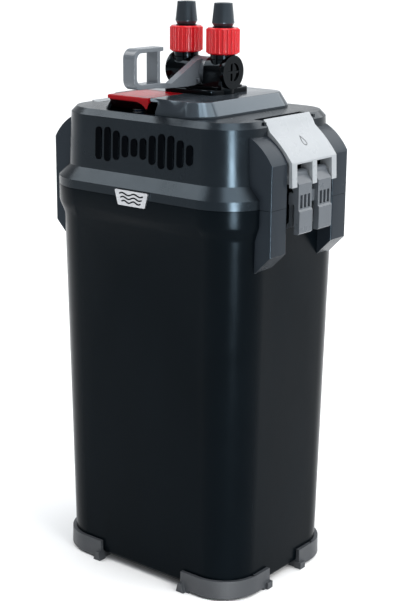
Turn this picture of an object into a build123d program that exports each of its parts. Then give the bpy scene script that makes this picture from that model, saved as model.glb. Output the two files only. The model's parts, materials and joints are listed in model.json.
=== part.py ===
from build123d import *
import os

# Canister filter, millimetres, +Z up.  Origin at the centre of the footprint, on the floor.
# The front (inlay and badge) faces -Y, the two lid clamps are on +X and -X.

# ---- driving dimensions -------------------------------------------------------------------
TOTAL_HEIGHT = 487.0          # floor to the tips of the hose barbs
WALL = 3.0                    # general moulding thickness
GAP = 0.3                     # clearance between pieces that move past each other
PIN_FIT = 0.08                # radial clearance of a hinge pin in its moving knuckle

# Canister: half width, half depth, corner radius at each level
CAN_FLOOR_Z = 5.0
CAN_FOOT = (94.6, 70.1, 30.5)
CAN_LOW = (97.4, 72.9, 33.0)
CAN_HIGH = (102.8, 76.8, 35.5)
COLLAR = (106.5, 83.0, 42.0)
CAN_LOW_Z = 8.0
CAN_HIGH_Z = 309.5
COLLAR_Z = 321.7
PARTING_Z = 335.0

# Lid
LID_BOTTOM_Z = PARTING_Z + GAP
SKIRT_Z = 342.5
FLARE_Z = 352.6
RIM_Z = 396.5
DECK_Z = 401.3
LID_LOW = (97.5, 75.0, 35.0)
LID_HIGH = (95.5, 73.5, 34.0)
LID_DECK = (91.0, 69.0, 30.0)
GLAND = (-40.0, 368.0)        # x, z of the cord inlet on the rear wall
NOTCH_X = 81.3                # clamp hinge notch in each end of the lid: inner face and floor
NOTCH_Z = 380.0

# Clamp rails: the pillars each side of a clamp channel, half on the lid and half on the canister
RAIL_X = 116.0
RAIL_Y0 = 32.0
RAIL_Y1 = 53.0
RAIL_TOP = ((94.3, 390.5), (107.0, 381.6), (116.0, 370.0))
RAIL_FOOT_Z = 298.5

# Clamp plate and its twin-finger lever
PLATE_HALF = 31.2
PLATE_PIVOT = (91.5, 388.0)
PLATE_FOOT_Z = 351.0
WINDOW = (3.2, 24.3, 368.9)
LEVER_PIVOT = (112.0, 359.0)
FINGER = (4.5, 22.8)
FINGER_FOOT_Z = 312.5
PIN_R = 1.5

# Top cover (raised middle of the lid) and primer pedal
COVER_FOOT = (57.0, 63.5, 20.0)
COVER_TOP = (50.5, 58.0, 16.0)
COVER_TOP_Z = 413.5
PEDAL_X = (-46.3, -2.7)
PEDAL_Y = (-61.0, -15.0)
PEDAL_THICK = 3.2
PEDAL_PIVOT = (-18.5, 409.3)
PEDAL_PIN_X = (-50.2, 1.4)
PRIMER_XY = (-24.5, -46.0)
BAY_X = (-45.5, 8.0)
BAY_Y = (-64.0, -25.0)
BAY_FLOOR_Z = 395.0

# Hose valve
BASE_TOP_Z = 417.8
PEDESTAL_Z = 419.4
PORT_X = 19.5
PORT_Y = 8.0
PORT_BORE_R = 6.0
BARREL_Z = 431.4
BARREL_R = 12.0
FLANGE_R = 13.8
BARREL_HALF = 31.0
HUB_HALF = 7.8
HUB_R = 11.4
NECK_R = 8.6
NUT_Z = (445.8, 467.2)
NUT_R = 14.0
BARB_Z = 468.0
SOCKET_R = 9.5
SOCKET_FOOT_Z = 398.0
DUCT_R = (10.4, 12.5)
LEVER_FRONT_Y = -87.2
LEVER_REAR_Y = -55.6
LEVER_Z = (422.2, 454.3)
LEVER_HALF = 6.0
ARM_HALF = 3.3

# Pump
PUMP_XY = (60.0, -8.0)
PLATE_Z = (341.0, 344.0)
VOLUTE_R = (22.0, 25.0)
VOLUTE_Z = 323.0
CAN_MOTOR_R = 27.0
WELL_R = (13.0, 15.0)
MOTOR_TOP_Z = 374.0

# Media
BASKET = (84.0, 50.0, 26.0)
BASKET_Y = -12.0
BASKET_COUNT = 4
BASKET_PITCH = 71.0
BASKET_HEIGHT = 68.0
BASKET_FOOT_Z = 14.0
CAGE_HALF = 74.0
CAGE_Y = (42.5, 65.5)
CAGE_Z = (12.0, 300.0)

nodes = {}


# ---- helpers --------------------------------------------------------------------------------
def block(*levels):
    """A stack of rounded rectangles (half width, half depth, corner radius), each with its height."""
    faces = [Plane.XY.offset(z) * RectangleRounded(2 * w, 2 * d, r) for (w, d, r), z in levels]
    return loft(faces, ruled=True)


def grown(size, amount):
    """The same rounded rectangle, larger by an amount on every side."""
    return tuple(value + amount for value in size)


def box(x, y, z):
    """A box from three (low, high) pairs."""
    size = [high - low for low, high in (x, y, z)]
    middle = [(high + low) / 2 for low, high in (x, y, z)]
    return Pos(*middle) * Box(*size)


def post(x, y, z, radius):
    """An upright cylinder at x, y between the heights z = (low, high)."""
    return Pos(x, y, (z[0] + z[1]) / 2) * Cylinder(radius, z[1] - z[0])


def tube(x, y, z, inner, outer):
    return post(x, y, z, outer) - post(x, y, z, inner)


def rod_x(y, z, x, radius):
    """A cylinder along X."""
    return Pos((x[0] + x[1]) / 2, y, z) * Rot(0, 90, 0) * Cylinder(radius, x[1] - x[0])


def rod_y(x, z, y, radius):
    """A cylinder along Y."""
    return Pos(x, (y[0] + y[1]) / 2, z) * Rot(90, 0, 0) * Cylinder(radius, y[1] - y[0])


def slab_y(points, y):
    """A polygon in XZ, extruded between y = (low, high)."""
    return ring_y(Polyline(*points, close=True), y)


def slab_x(face, half):
    """A face in the local XY plane, stood up in YZ and extruded to both sides of x = 0."""
    return extrude(Plane.YZ * face, amount=half, both=True)


def ring_y(outline, y):
    """A closed outline of edges in the XZ plane, extruded between y = (low, high)."""
    face = make_face(Plane.XZ * outline)
    return Pos(0, y[0], 0) * extrude(face, amount=y[1] - y[0], dir=(0, 1, 0))


def both_y(part):
    """A part and its mirror image across the XZ plane."""
    return part + mirror(part, Plane.XZ)


def both_x(part):
    return part + mirror(part, Plane.YZ)


# ---- canister -------------------------------------------------------------------------------
can_outer = block((CAN_FOOT, CAN_FLOOR_Z), (CAN_LOW, CAN_LOW_Z), (CAN_HIGH, CAN_HIGH_Z),
                  (COLLAR, COLLAR_Z), (COLLAR, PARTING_Z))
can_inner = block((grown(CAN_LOW, -WALL - 0.2), CAN_LOW_Z + 0.5), (grown(CAN_HIGH, -WALL), CAN_HIGH_Z),
                  (grown(CAN_HIGH, -WALL), PARTING_Z + 1))


def four(solid):
    """A solid in the +X +Y quarter and its three mirror images."""
    pair = [solid, mirror(solid, Plane.XZ)]
    return pair + [mirror(one, Plane.YZ) for one in pair]


def canister_rails():
    """Lower halves of the four rails, with a 45 degree facet below."""
    root = CAN_HIGH[0] - WALL
    outline = [(root, RAIL_FOOT_Z - (RAIL_X - root)), (RAIL_X, RAIL_FOOT_Z),
               (RAIL_X, PARTING_Z), (root, PARTING_Z)]
    rail = slab_y(outline, (RAIL_Y0, RAIL_Y1))
    rail = fillet(rail.edges().filter_by(Axis.Z).sort_by(Axis.X)[-2:], 1.2)
    hollow = box((COLLAR[0] + 1, RAIL_X - 2.5), (RAIL_Y0 + 2.5, RAIL_Y1 - 2.5), (302, PARTING_Z + 1))
    return four(rail - hollow - can_outer)


def foot(side_x, side_y):
    """A corner foot: a wrap round the corner with a pad below and two flared toes."""
    height = 17.5
    reach_x, reach_y = 46.0, 22.0
    wrap = block((grown(CAN_LOW, 3.8), 0.0), (grown(CAN_LOW, 3.4), height))
    corner = box((reach_x, 120), (reach_y, 100), (0, height))
    toe_x = slab_y([(reach_x - 2, 0), (reach_x + 6, 0), (reach_x + 3, 8), (reach_x, 8)],
                   (CAN_LOW[1] - 1, CAN_LOW[1] + 7))
    toe_y = box((CAN_LOW[0] - 1, CAN_LOW[0] + 6), (reach_y - 1, reach_y + 6), (0, 6))
    shape = (wrap & corner) + toe_x + toe_y
    shape -= can_outer
    shape -= box((reach_x + 9, 120), (reach_y + 9, 100), (-1, 2)) - block((CAN_FOOT, -2), (CAN_FOOT, 4))
    if side_x < 0:
        shape = mirror(shape, Plane.YZ)
    if side_y < 0:
        shape = mirror(shape, Plane.XZ)
    return shape


def badge_plate():
    top, low = (17.8, 341.5), (14.3, 329.0)
    outline = [(-top[0], top[1]), (top[0], top[1]), (low[0], low[1]), (-low[0], low[1])]
    plate = slab_y(outline, (-COLLAR[1] - 2.1, -COLLAR[1] - GAP))
    plate = fillet(plate.edges().filter_by(Axis.Y), 1.0)
    pad = box((-12, 12), (-COLLAR[1] - GAP, -COLLAR[1]), (330.5, PARTING_Z - 0.5))
    return plate + pad


nodes["canister_shell"] = can_outer - can_inner
nodes["canister_rails"] = canister_rails()
for name_y, side_y in (("front", -1), ("rear", 1)):
    for name_x, side_x in (("left", -1), ("right", 1)):
        nodes[f"foot_{name_y}_{name_x}"] = foot(side_x, side_y)
nodes["badge_plate"] = badge_plate()


# ---- media: foam cage and basket stack --------------------------------------------------------
def foam_cage():
    y0, y1 = CAGE_Y
    frame = box((-CAGE_HALF, CAGE_HALF), CAGE_Y, CAGE_Z)
    bay = (CAGE_Z[1] - CAGE_Z[0] - 5 * 3) / 4
    for row in range(4):
        low = CAGE_Z[0] + 3 + row * (bay + 3)
        frame -= box((-CAGE_HALF + 3, CAGE_HALF - 3), (y0 - 1, y1 - 2), (low, low + bay))
        for column in range(8):
            x = -62 + column * 62 / 3.5
            frame -= box((x - 5.5, x + 5.5), (y1 - 3, y1 + 1), (low + 5, low + bay - 5))
    return frame


def foam_screens():
    bay = (CAGE_Z[1] - CAGE_Z[0] - 5 * 3) / 4
    low = [CAGE_Z[0] + 3 + row * (bay + 3) for row in range(4)]
    side = CAGE_HALF - 3.5
    return [box((-side, side), (CAGE_Y[0] + 1, CAGE_Y[1] - 2.2), (z + 0.3, z + bay - 0.5)) for z in low]


def basket(index):
    z0 = BASKET_FOOT_Z + index * BASKET_PITCH
    z1 = z0 + BASKET_HEIGHT
    rim = grown(BASKET, -1.0)
    shape = block((rim, z0), (rim, z1 - 6)) + block((BASKET, z1 - 6), (BASKET, z1))
    shape -= block((grown(rim, -2), z0 + 2.5), (grown(rim, -2), z1 + 1))
    floor_slot = Box(14, 5, 8)
    shape -= [Pos(0, 0, z0) * place * floor_slot for place in GridLocations(20, 11, 8, 8)]
    side_slot = Box(8, 2 * BASKET[1] + 20, 14)
    shape -= [Pos(0, 0, z0 + 34) * place * side_slot for place in GridLocations(16, 1, 8, 1)]
    return Pos(0, BASKET_Y, 0) * shape


def media(index, height, inset=3.6):
    z0 = BASKET_FOOT_Z + index * BASKET_PITCH + 2.8
    return Pos(0, BASKET_Y, 0) * block((grown(BASKET, -inset), z0), (grown(BASKET, -inset), z0 + height))


def carbon_bag(index, height):
    """Three soft pillows of loose carbon side by side."""
    z0 = BASKET_FOOT_Z + index * BASKET_PITCH + 2.8
    pillow = block(((23.5, 40, 9), z0), ((25.0, 42, 10), z0 + 8), ((25.0, 42, 10), z0 + height - 8),
                   ((23.5, 40, 9), z0 + height))
    return [Pos(x, BASKET_Y, 0) * pillow for x in (-52.5, 0, 52.5)]


def basket_cover():
    z0 = BASKET_FOOT_Z + BASKET_COUNT * BASKET_PITCH - 1
    sheet = block((grown(BASKET, -0.5), z0), (grown(BASKET, -0.5), z0 + 3))
    hole = post(0, 0, (z0 - 1, z0 + 4), 3)
    sheet -= [place * hole for place in GridLocations(14, 11, 11, 8)]
    return Pos(0, BASKET_Y, 0) * sheet


def lift_handle():
    z0 = BASKET_FOOT_Z + BASKET_COUNT * BASKET_PITCH + 2
    foot_pad = box((-42, 2), (-22, -2), (z0, z0 + 2.5))
    stem = box((-25, -15), (-16, -8), (z0 + 2.5, z0 + 12))
    grip = rod_x(BASKET_Y, z0 + 14, (-46, 6), 4.0)
    return foot_pad + stem + grip


nodes["foam_cage"] = foam_cage()
nodes["foam_screens"] = foam_screens()
for number in range(BASKET_COUNT):
    nodes[f"media_basket_{number + 1}"] = basket(number)
nodes["coarse_pad"] = media(0, 46)
nodes["ceramic_media"] = media(1, 48)
nodes["carbon_bags"] = carbon_bag(2, 46)
nodes["polish_pad"] = media(3, 40)
nodes["basket_cover"] = basket_cover()
nodes["lift_handle"] = lift_handle()


# ---- lid --------------------------------------------------------------------------------------
lid_outer = block((COLLAR, LID_BOTTOM_Z), (COLLAR, SKIRT_Z), (LID_LOW, FLARE_Z), (LID_HIGH, RIM_Z),
                  (LID_DECK, DECK_Z))
lid_inner = block((grown(COLLAR, -WALL), LID_BOTTOM_Z - 1), (grown(COLLAR, -WALL), SKIRT_Z - 1),
                  (grown(LID_LOW, -WALL), FLARE_Z - 1.6), (grown(LID_HIGH, -WALL), DECK_Z - WALL))


def lid_rails():
    """Upper halves of the four rails, rounded over at the top."""
    root = LID_HIGH[0] - WALL + 0.5
    top, middle, shoulder = RAIL_TOP
    edges = (Polyline((root, top[1]), (root, LID_BOTTOM_Z), (RAIL_X, LID_BOTTOM_Z), shoulder)
             + ThreePointArc(shoulder, middle, top) + Line(top, (root, top[1])))
    rail = ring_y(edges, (RAIL_Y0, RAIL_Y1))
    rail = fillet(rail.edges().filter_by(Axis.Z).sort_by(Axis.X)[-2:], 1.2)
    hollow = box((COLLAR[0] + 1, RAIL_X - 2.5), (RAIL_Y0 + 2.5, RAIL_Y1 - 2.5), (LID_BOTTOM_Z - 1, 366))
    return four(rail - hollow - lid_outer)


def lid_shell():
    shape = lid_outer - lid_inner
    hinge_wall = box((NOTCH_X - WALL, LID_HIGH[0] - 1), (-RAIL_Y0 - WALL, RAIL_Y0 + WALL),
                     (NOTCH_Z - WALL, DECK_Z - 1))
    shape += both_x(hinge_wall)
    shape += box((BAY_X[0] - 3, BAY_X[1] + 3), (BAY_Y[0] - 3, BAY_Y[1] + 3), (BAY_FLOOR_Z - 3, DECK_Z - 1))
    notch = box((NOTCH_X, 130), (-RAIL_Y0, RAIL_Y0), (NOTCH_Z, DECK_Z + 5))
    shape -= both_x(notch)
    shape -= both_x(rod_y(PLATE_PIVOT[0], PLATE_PIVOT[1], (-34.5, 34.5), PIN_R))
    shape -= box(BAY_X, BAY_Y, (BAY_FLOOR_Z, DECK_Z + 1))
    shape -= post(*PRIMER_XY, (BAY_FLOOR_Z - 4, BAY_FLOOR_Z + 1), 4.4)
    shape -= both_x(post(PORT_X, PORT_Y, (DECK_Z - 5, DECK_Z + 1), DUCT_R[1]))
    shape -= rod_y(GLAND[0], GLAND[1], (60, 90), 6.0)
    return shape


def lid_base_plate():
    """The sealed floor of the lid, with a spigot that plugs into the mouth of the canister."""
    spigot = grown(CAN_HIGH, -WALL - 1.3)
    shape = block(((100.0, 76.5, 35.0), PLATE_Z[0]), ((100.0, 76.5, 35.0), PLATE_Z[1]))
    shape += block((spigot, 326.0), (spigot, PLATE_Z[0])) - block((grown(spigot, -WALL), 325.0),
                                                                  (grown(spigot, -WALL), PLATE_Z[0]))
    shape -= (block((grown(spigot, 1), 331.0), (grown(spigot, 1), 334.0))
              - block((grown(spigot, -1.4), 330.0), (grown(spigot, -1.4), 335.0)))
    shape -= post(*PUMP_XY, (PLATE_Z[0] - 1, PLATE_Z[1] + 1), WELL_R[0])
    shape -= post(PORT_X, PORT_Y, (PLATE_Z[0] - 1, PLATE_Z[1] + 1), DUCT_R[0])
    shape -= post(-PORT_X, PORT_Y, (PLATE_Z[0] - 1, PLATE_Z[1] + 1), DUCT_R[1])
    return shape


def lid_gasket():
    outer = grown(CAN_HIGH, -WALL - GAP)
    inner = grown(CAN_HIGH, -WALL - 1.3 - 1.4)
    return block((outer, 331.0), (outer, 334.0)) - block((inner, 330.0), (inner, 335.0))


def lid_screws():
    """Six screws that hold the base plate, heads down, on the floor of the lid."""
    screws = []
    for x, y in [(-84, 0), (84, 22), (-55, 62), (55, 62), (-55, -62), (30, -62)]:
        screw = post(x, y, (PLATE_Z[0] - 2.2, PLATE_Z[0]), 3.6)
        screw -= box((x - 2.6, x + 2.6), (y - 0.5, y + 0.5), (PLATE_Z[0] - 3, PLATE_Z[0] - 1.2))
        screw -= box((x - 0.5, x + 0.5), (y - 2.6, y + 2.6), (PLATE_Z[0] - 3, PLATE_Z[0] - 1.2))
        screws.append(screw)
    return screws


def top_cover():
    top_thick = 2.5
    shape = block((COVER_FOOT, DECK_Z), (COVER_FOOT, DECK_Z + 1.5), (COVER_TOP, COVER_TOP_Z))
    shape = fillet(shape.faces().sort_by(Axis.Z)[-1].edges(), 1.2)
    hollow_z = COVER_TOP_Z - top_thick
    shape -= block((grown(COVER_FOOT, -WALL), DECK_Z - 1), (grown(COVER_FOOT, -WALL), DECK_Z + 0.5),
                   (grown(COVER_TOP, -2.5), hollow_z))
    for x in (PEDAL_X[0] - 2.5, PEDAL_X[1] + 2.5):
        lug = box((x - 1.8, x + 1.8), (PEDAL_PIVOT[0] - 3, PEDAL_PIVOT[0] + 3), (405.5, hollow_z + 0.5))
        shape += lug
    shape -= box((PEDAL_X[0] - 0.5, PEDAL_X[1] + 0.5), (-70, PEDAL_Y[1] + 0.5), (hollow_z - 2, 420))
    shape -= box((PEDAL_X[0] - 0.5, 7), (-70, -50), (DECK_Z - 1, hollow_z))
    shape -= rod_x(*PEDAL_PIVOT, PEDAL_PIN_X, PIN_R)
    shape -= both_x(post(PORT_X, PORT_Y, (DECK_Z, 420), DUCT_R[0]))
    return shape


def cord_gland():
    """Rubber cable inlet on the back of the lid, with a flange and a stepped snout."""
    x, z = GLAND
    shape = (rod_y(x, z, (70.0, 75.4), 6.0) + rod_y(x, z, (75.4, 78.4), 9.5) + rod_y(x, z, (78.4, 82.6), 6.8)
             + rod_y(x, z, (82.6, -LEVER_FRONT_Y), 5.6))
    return shape - rod_y(x, z, (69, 95), 3.2)


def front_inlay():
    """A raised panel that follows the front wall of the lid."""
    proud = 0.9
    skin = block((grown(LID_LOW, proud), FLARE_Z), (grown(LID_HIGH, proud), RIM_Z))
    panel = skin & box((-48.0, 55.0), (-90, -60), (360.5, 389.0))
    return panel - lid_outer


nodes["lid_shell"] = lid_shell()
nodes["lid_rails"] = lid_rails()
nodes["lid_base_plate"] = lid_base_plate()
nodes["lid_gasket"] = lid_gasket()
nodes["lid_screws"] = lid_screws()
nodes["top_cover"] = top_cover()
nodes["cord_gland"] = cord_gland()
nodes["front_inlay"] = front_inlay()


# ---- pump -------------------------------------------------------------------------------------
def volute_housing():
    x, y = PUMP_XY
    z = (VOLUTE_Z, PLATE_Z[0])
    shape = post(x, y, z, VOLUTE_R[1])
    shape += box((PORT_X, x), (PORT_Y - 8, PORT_Y + 8), (VOLUTE_Z + 1, PLATE_Z[0]))
    shape += post(PORT_X, PORT_Y, (VOLUTE_Z + 1, PLATE_Z[0]), DUCT_R[1])
    shape -= post(x, y, (VOLUTE_Z - 1, PLATE_Z[0] + 1), VOLUTE_R[0])
    shape -= box((PORT_X, x), (PORT_Y - 5.5, PORT_Y + 5.5), (VOLUTE_Z + 3.5, PLATE_Z[0] + 1))
    shape -= post(PORT_X, PORT_Y, (VOLUTE_Z + 3.5, PLATE_Z[0] + 1), DUCT_R[0])
    return shape


def volute_cover():
    """Bottom plate of the pump, with a spoked water inlet round the lower bearing."""
    x, y = PUMP_XY
    z = (VOLUTE_Z - 3, VOLUTE_Z)
    shape = post(x, y, z, VOLUTE_R[1]) - post(x, y, (z[0] - 1, z[1] + 1), 11.0)
    shape += post(x, y, z, 5.0)
    for turn in range(3):
        spoke = box((4, 12), (-1, 1), z)
        shape += Pos(x, y, 0) * Rot(0, 0, 120 * turn) * spoke
    return shape - post(x, y, (z[0] - 1, z[1] + 1), 3.0)


def motor_can():
    x, y = PUMP_XY
    z = (PLATE_Z[1], MOTOR_TOP_Z)
    shape = post(x, y, z, CAN_MOTOR_R)
    shape = fillet(shape.edges().filter_by(GeomType.CIRCLE).sort_by(Axis.Z)[-1:], 3.0)
    shape -= tube(x, y, (z[0] + 2, z[1] - 2), WELL_R[1], CAN_MOTOR_R - 2)
    return shape - post(x, y, (z[0] - 1, z[1] - 2), WELL_R[0])


def stator_core():
    x, y = PUMP_XY
    core = tube(x, y, (350, 366), WELL_R[1] + 0.2, 24.5)
    for turn in range(4):
        slot = box((16.5, 22.0), (-7.0, 7.0), (349, 367))
        core -= Pos(x, y, 0) * Rot(0, 0, 45 + 90 * turn) * slot
    return core


def stator_coils():
    x, y = PUMP_XY
    coil = box((17.0, 21.5), (-6.0, 6.0), (347.5, 368.5))
    coil = fillet(coil.edges().filter_by(Axis.Z), 1.5)
    return [Pos(x, y, 0) * Rot(0, 0, 45 + 90 * turn) * coil for turn in range(4)]


def impeller():
    x, y = PUMP_XY
    hub = post(0, 0, (327.0, 345.0), 5.0) + post(0, 0, (337.4, 339.2), 18.5)
    for turn in range(6):
        blade = box((4.5, 18.5), (-0.9, 0.9), (327.0, 338.0))
        hub += Rot(0, 0, 60 * turn) * blade
    return Pos(x, y, 0) * (hub - post(0, 0, (326, 346), PIN_R))


def rotor_magnet():
    return tube(*PUMP_XY, (345.0, 369.0), PIN_R, 12.2)


def shaft_bushes():
    x, y = PUMP_XY
    lower = tube(x, y, (VOLUTE_Z - 3, VOLUTE_Z + 0.5), PIN_R + PIN_FIT, 3.0)
    upper = tube(x, y, (369.4, MOTOR_TOP_Z - 2), PIN_R + PIN_FIT, 6.0)
    return [lower, upper]


def duct(x, low):
    return tube(x, PORT_Y, (low, COVER_TOP_Z - 2.5), *DUCT_R)


nodes["volute_housing"] = volute_housing()
nodes["volute_cover"] = volute_cover()
nodes["motor_can"] = motor_can()
nodes["stator_core"] = stator_core()
nodes["stator_coils"] = stator_coils()
nodes["impeller"] = impeller()
nodes["rotor_magnet"] = rotor_magnet()
nodes["impeller_shaft"] = post(*PUMP_XY, (VOLUTE_Z - 2.5, MOTOR_TOP_Z - 2.3), PIN_R)
nodes["shaft_bushes"] = shaft_bushes()
nodes["outlet_duct"] = duct(PORT_X, PLATE_Z[1])
nodes["inlet_duct"] = duct(-PORT_X, 328.0)


# ---- primer: pedal, plunger, spring, cylinder ---------------------------------------------------
def primer_pedal():
    y, z = PEDAL_PIVOT
    x0, x1 = PEDAL_X
    top = (COVER_TOP_Z - PEDAL_THICK, COVER_TOP_Z)
    shape = box(PEDAL_X, PEDAL_Y, top)
    shape = fillet(shape.edges().group_by(Axis.Z)[-1], 1.2)
    fang = [(-20, 0.5), (-14, -0.4), (-10, -1.3), (-7, -2.5), (-4.6, -4.1), (-3.2, -5.7), (-1.6, -5.7), (0, -1),
            (0, 0.5)]
    fang_y = (PEDAL_Y[0] + 0.6, PEDAL_Y[0] + 3.6)
    shape += slab_y([(x1 + x, top[0] + drop) for x, drop in fang], fang_y)
    scoop = [(fang_y[0], top[0] + 0.5), (fang_y[0] + 2.2, top[0] + 0.5), (-55.4, 403.2), (-57.0, 403.2)]
    wall = make_face(Polyline(*scoop, close=True))
    shape += Pos((x0 + x1) / 2, 0, 0) * slab_x(wall, (x1 - x0) / 2 - 1.2)
    shape += box((x0 + 6, x1 - 6), (y - 2.8, y + 2.8), (z, top[0] + 0.5)) + rod_x(y, z, (x0 + 6, x1 - 6), 2.8)
    shape += post(*PRIMER_XY, (406.4, top[0] + 0.5), 5.0)
    return shape - rod_x(y, z, (x0, x1), PIN_R + PIN_FIT)


def primer_plunger():
    x, y = PRIMER_XY
    cap = post(x, y, (404.0, 406.0), 7.5)
    stem = post(x, y, (372.0, 404.0), 4.0)
    head = post(x, y, (364.0, 372.0), 10.0) - tube(x, y, (366.5, 369.5), 8.0, 11.0)
    return cap + stem + head


def primer_spring():
    """Open coil round the plunger stem, between the bay floor and the plunger cap."""
    wire = 0.55
    height = 404.0 - BAY_FLOOR_Z - 2 * wire - 0.2
    path = Helix(pitch=height / 3.5, height=height, radius=5.8)
    coil = sweep(Plane(origin=path @ 0, z_dir=path % 0) * Circle(wire), path=path, is_frenet=True)
    return Pos(*PRIMER_XY, BAY_FLOOR_Z + wire + 0.1) * coil


def primer_cylinder():
    x, y = PRIMER_XY
    barrel = tube(x, y, (350.0, BAY_FLOOR_Z - 3), 10.5, 12.6)
    floor = tube(x, y, (346.0, 350.0), 3.0, 12.6)
    return barrel + floor


nodes["primer_pedal"] = primer_pedal()
nodes["primer_pin"] = rod_x(*PEDAL_PIVOT, PEDAL_PIN_X, PIN_R)
nodes["primer_plunger"] = primer_plunger()
nodes["piston_ring"] = tube(*PRIMER_XY, (366.5, 369.5), 8.0, 10.3)
nodes["primer_spring"] = primer_spring()
nodes["primer_cylinder"] = primer_cylinder()


# ---- clamps -------------------------------------------------------------------------------------
def clamp_plate():
    """Curved cover of the right-hand clamp, with two windows for the fingers of its lever."""
    lip_top, lip_edge, crease = (91.2, 402.2), (95.2, 397.0), (97.5, 392.5)
    bulge, shoulder, foot_end = (110.2, 381.2), (119.2, 370.3), (120.0, PLATE_FOOT_Z)
    inner = [(117.0, PLATE_FOOT_Z), (116.2, 369.4), (107.9, 379.1), (94.9, 390.9), (92.7, 395.2), (89.0, 400.2)]
    edges = (Polyline(lip_top, lip_edge, crease) + ThreePointArc(crease, bulge, shoulder)
             + Polyline(shoulder, foot_end, inner[0], inner[1]) + ThreePointArc(inner[1], inner[2], inner[3])
             + Polyline(inner[3], inner[4], inner[5], lip_top))
    shape = ring_y(edges, (-PLATE_HALF, PLATE_HALF))
    y0, y1, top = WINDOW
    window = box((105, 130), (y0, y1), (PLATE_FOOT_Z - 1, top))
    shape -= both_y(window)
    px, pz = PLATE_PIVOT
    knuckle = rod_y(px, pz, (10.0, PLATE_HALF), 4.0)
    knuckle += slab_y([(px, pz - 4), (px, pz + 4), (94.0, 393.0), (97.5, 389.5), (101.0, 385.0)],
                      (10.0, PLATE_HALF))
    shape += both_y(knuckle)
    lx, lz = LEVER_PIVOT
    cheek = [(lx - 4, lz - 6), (lx + 5.5, lz - 6), (lx + 5.5, lz + 8), (lx - 1, lz + 17.5), (lx - 4, lz + 15)]
    shape += both_y(slab_y(cheek, (y1 + 0.6, y1 + 3.6))) + slab_y(cheek, (-y0 + 0.4, y0 - 0.4))
    shape -= rod_y(px, pz, (-40, 40), PIN_R + PIN_FIT)
    return shape - rod_y(lx, lz, (-28.5, 28.5), PIN_R)


def clamp_lever():
    """Twin finger pull of the right-hand clamp, with its hook blade behind."""
    lx, lz = LEVER_PIVOT
    y0, y1 = FINGER
    front = 120.4
    outline = [(front, 352.8), (front + 0.1, 332.4), (front + 1.3, 330.9), (front + 1.3, 313.8),
               (front, FINGER_FOOT_Z), (116.6, FINGER_FOOT_Z), (116.2, 345.0), (111.0, 352.5),
               (lx - 3.5, lz), (lx + 0.8, lz + 4.0)]
    finger = slab_y(outline, (y0, y1)) + rod_y(lx, lz, (y0, y1), 4.0)
    for offset in (-5.2, 0.0, 5.2):
        middle = (y0 + y1) / 2 + offset
        finger -= box((front - 2.4, front + 3), (middle - 1.6, middle + 1.6), (333.4, 344.0))
    shape = both_y(finger)
    shape += box((111.0, 116.8), (-y1, y1), (336.0, 345.5))
    shape += slab_y([(109.6, 345.5), (112.4, 345.5), (112.4, 317.5), (107.6, 315.5), (107.6, 319.0),
                     (109.6, 321.0)], (-20, 20))
    return shape - rod_y(lx, lz, (-30, 30), PIN_R + PIN_FIT)


plate_right = clamp_plate()
lever_right = clamp_lever()
lever_pin_right = rod_y(*LEVER_PIVOT, (-28.4, 28.4), PIN_R)
nodes["clamp_plate_right"] = plate_right
nodes["clamp_plate_left"] = mirror(plate_right, Plane.YZ)
nodes["clamp_lever_right"] = lever_right
nodes["clamp_lever_left"] = mirror(lever_right, Plane.YZ)
nodes["clamp_lever_pin_right"] = lever_pin_right
nodes["clamp_lever_pin_left"] = mirror(lever_pin_right, Plane.YZ)
hinge_pin = rod_y(*PLATE_PIVOT, (-34.4, 34.4), PIN_R)
nodes["clamp_hinge_pins"] = [hinge_pin, mirror(hinge_pin, Plane.YZ)]


# ---- hose valve -----------------------------------------------------------------------------------

def valve_base():
    shape = box((-26.5, 26.5), (-15.0, 37.0), (COVER_TOP_Z, BASE_TOP_Z))
    shape = fillet(shape.edges().filter_by(Axis.Z), 6.0)
    shape = fillet(shape.faces().sort_by(Axis.Z)[-1].edges(), 1.0)
    return shape - both_x(post(PORT_X, PORT_Y, (410, 420), SOCKET_R))


def valve_half():
    """Right-hand half of the valve casting: tower, barrel with a flared end, port and socket."""
    inner_x = HUB_HALF + 0.4
    shape = box((inner_x, 28.0), (PORT_Y - 12, PORT_Y + 12), (BASE_TOP_Z, BARREL_Z))
    shape += rod_x(PORT_Y, BARREL_Z, (inner_x, 28.5), BARREL_R)
    flare = Pos(26.0, PORT_Y, BARREL_Z) * Rot(0, 90, 0) * Cone(BARREL_R, FLANGE_R, 4.0)
    shape += flare + rod_x(PORT_Y, BARREL_Z, (28.0, BARREL_HALF), FLANGE_R)
    shape += post(PORT_X, PORT_Y, (SOCKET_FOOT_Z, BARREL_Z), SOCKET_R)
    shape += post(PORT_X, PORT_Y, (BARREL_Z, 441.5), 10.4) + post(PORT_X, PORT_Y, (441.5, BARB_Z), NECK_R)
    shape += post(PORT_X, PORT_Y, (442.0, NUT_Z[0] - 0.4), 10.4)
    shape -= tube(PORT_X, PORT_Y, (401.0, 404.0), SOCKET_R - 1.2, SOCKET_R + 1)
    shape -= rod_x(PORT_Y, BARREL_Z, (inner_x + 1.8, BARREL_HALF + 1), 9.0)
    shape -= rod_x(PORT_Y, BARREL_Z, (0, inner_x + 3), 4.0 + PIN_FIT)
    return shape - post(PORT_X, PORT_Y, (390, 480), PORT_BORE_R)


def valve_body():
    bridge = box((-24, 24), (PORT_Y - 13, PORT_Y + 21), (BASE_TOP_Z, PEDESTAL_Z))
    bridge -= both_x(post(PORT_X, PORT_Y, (410, 425), PORT_BORE_R))
    return both_x(valve_half()) + bridge


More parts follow.
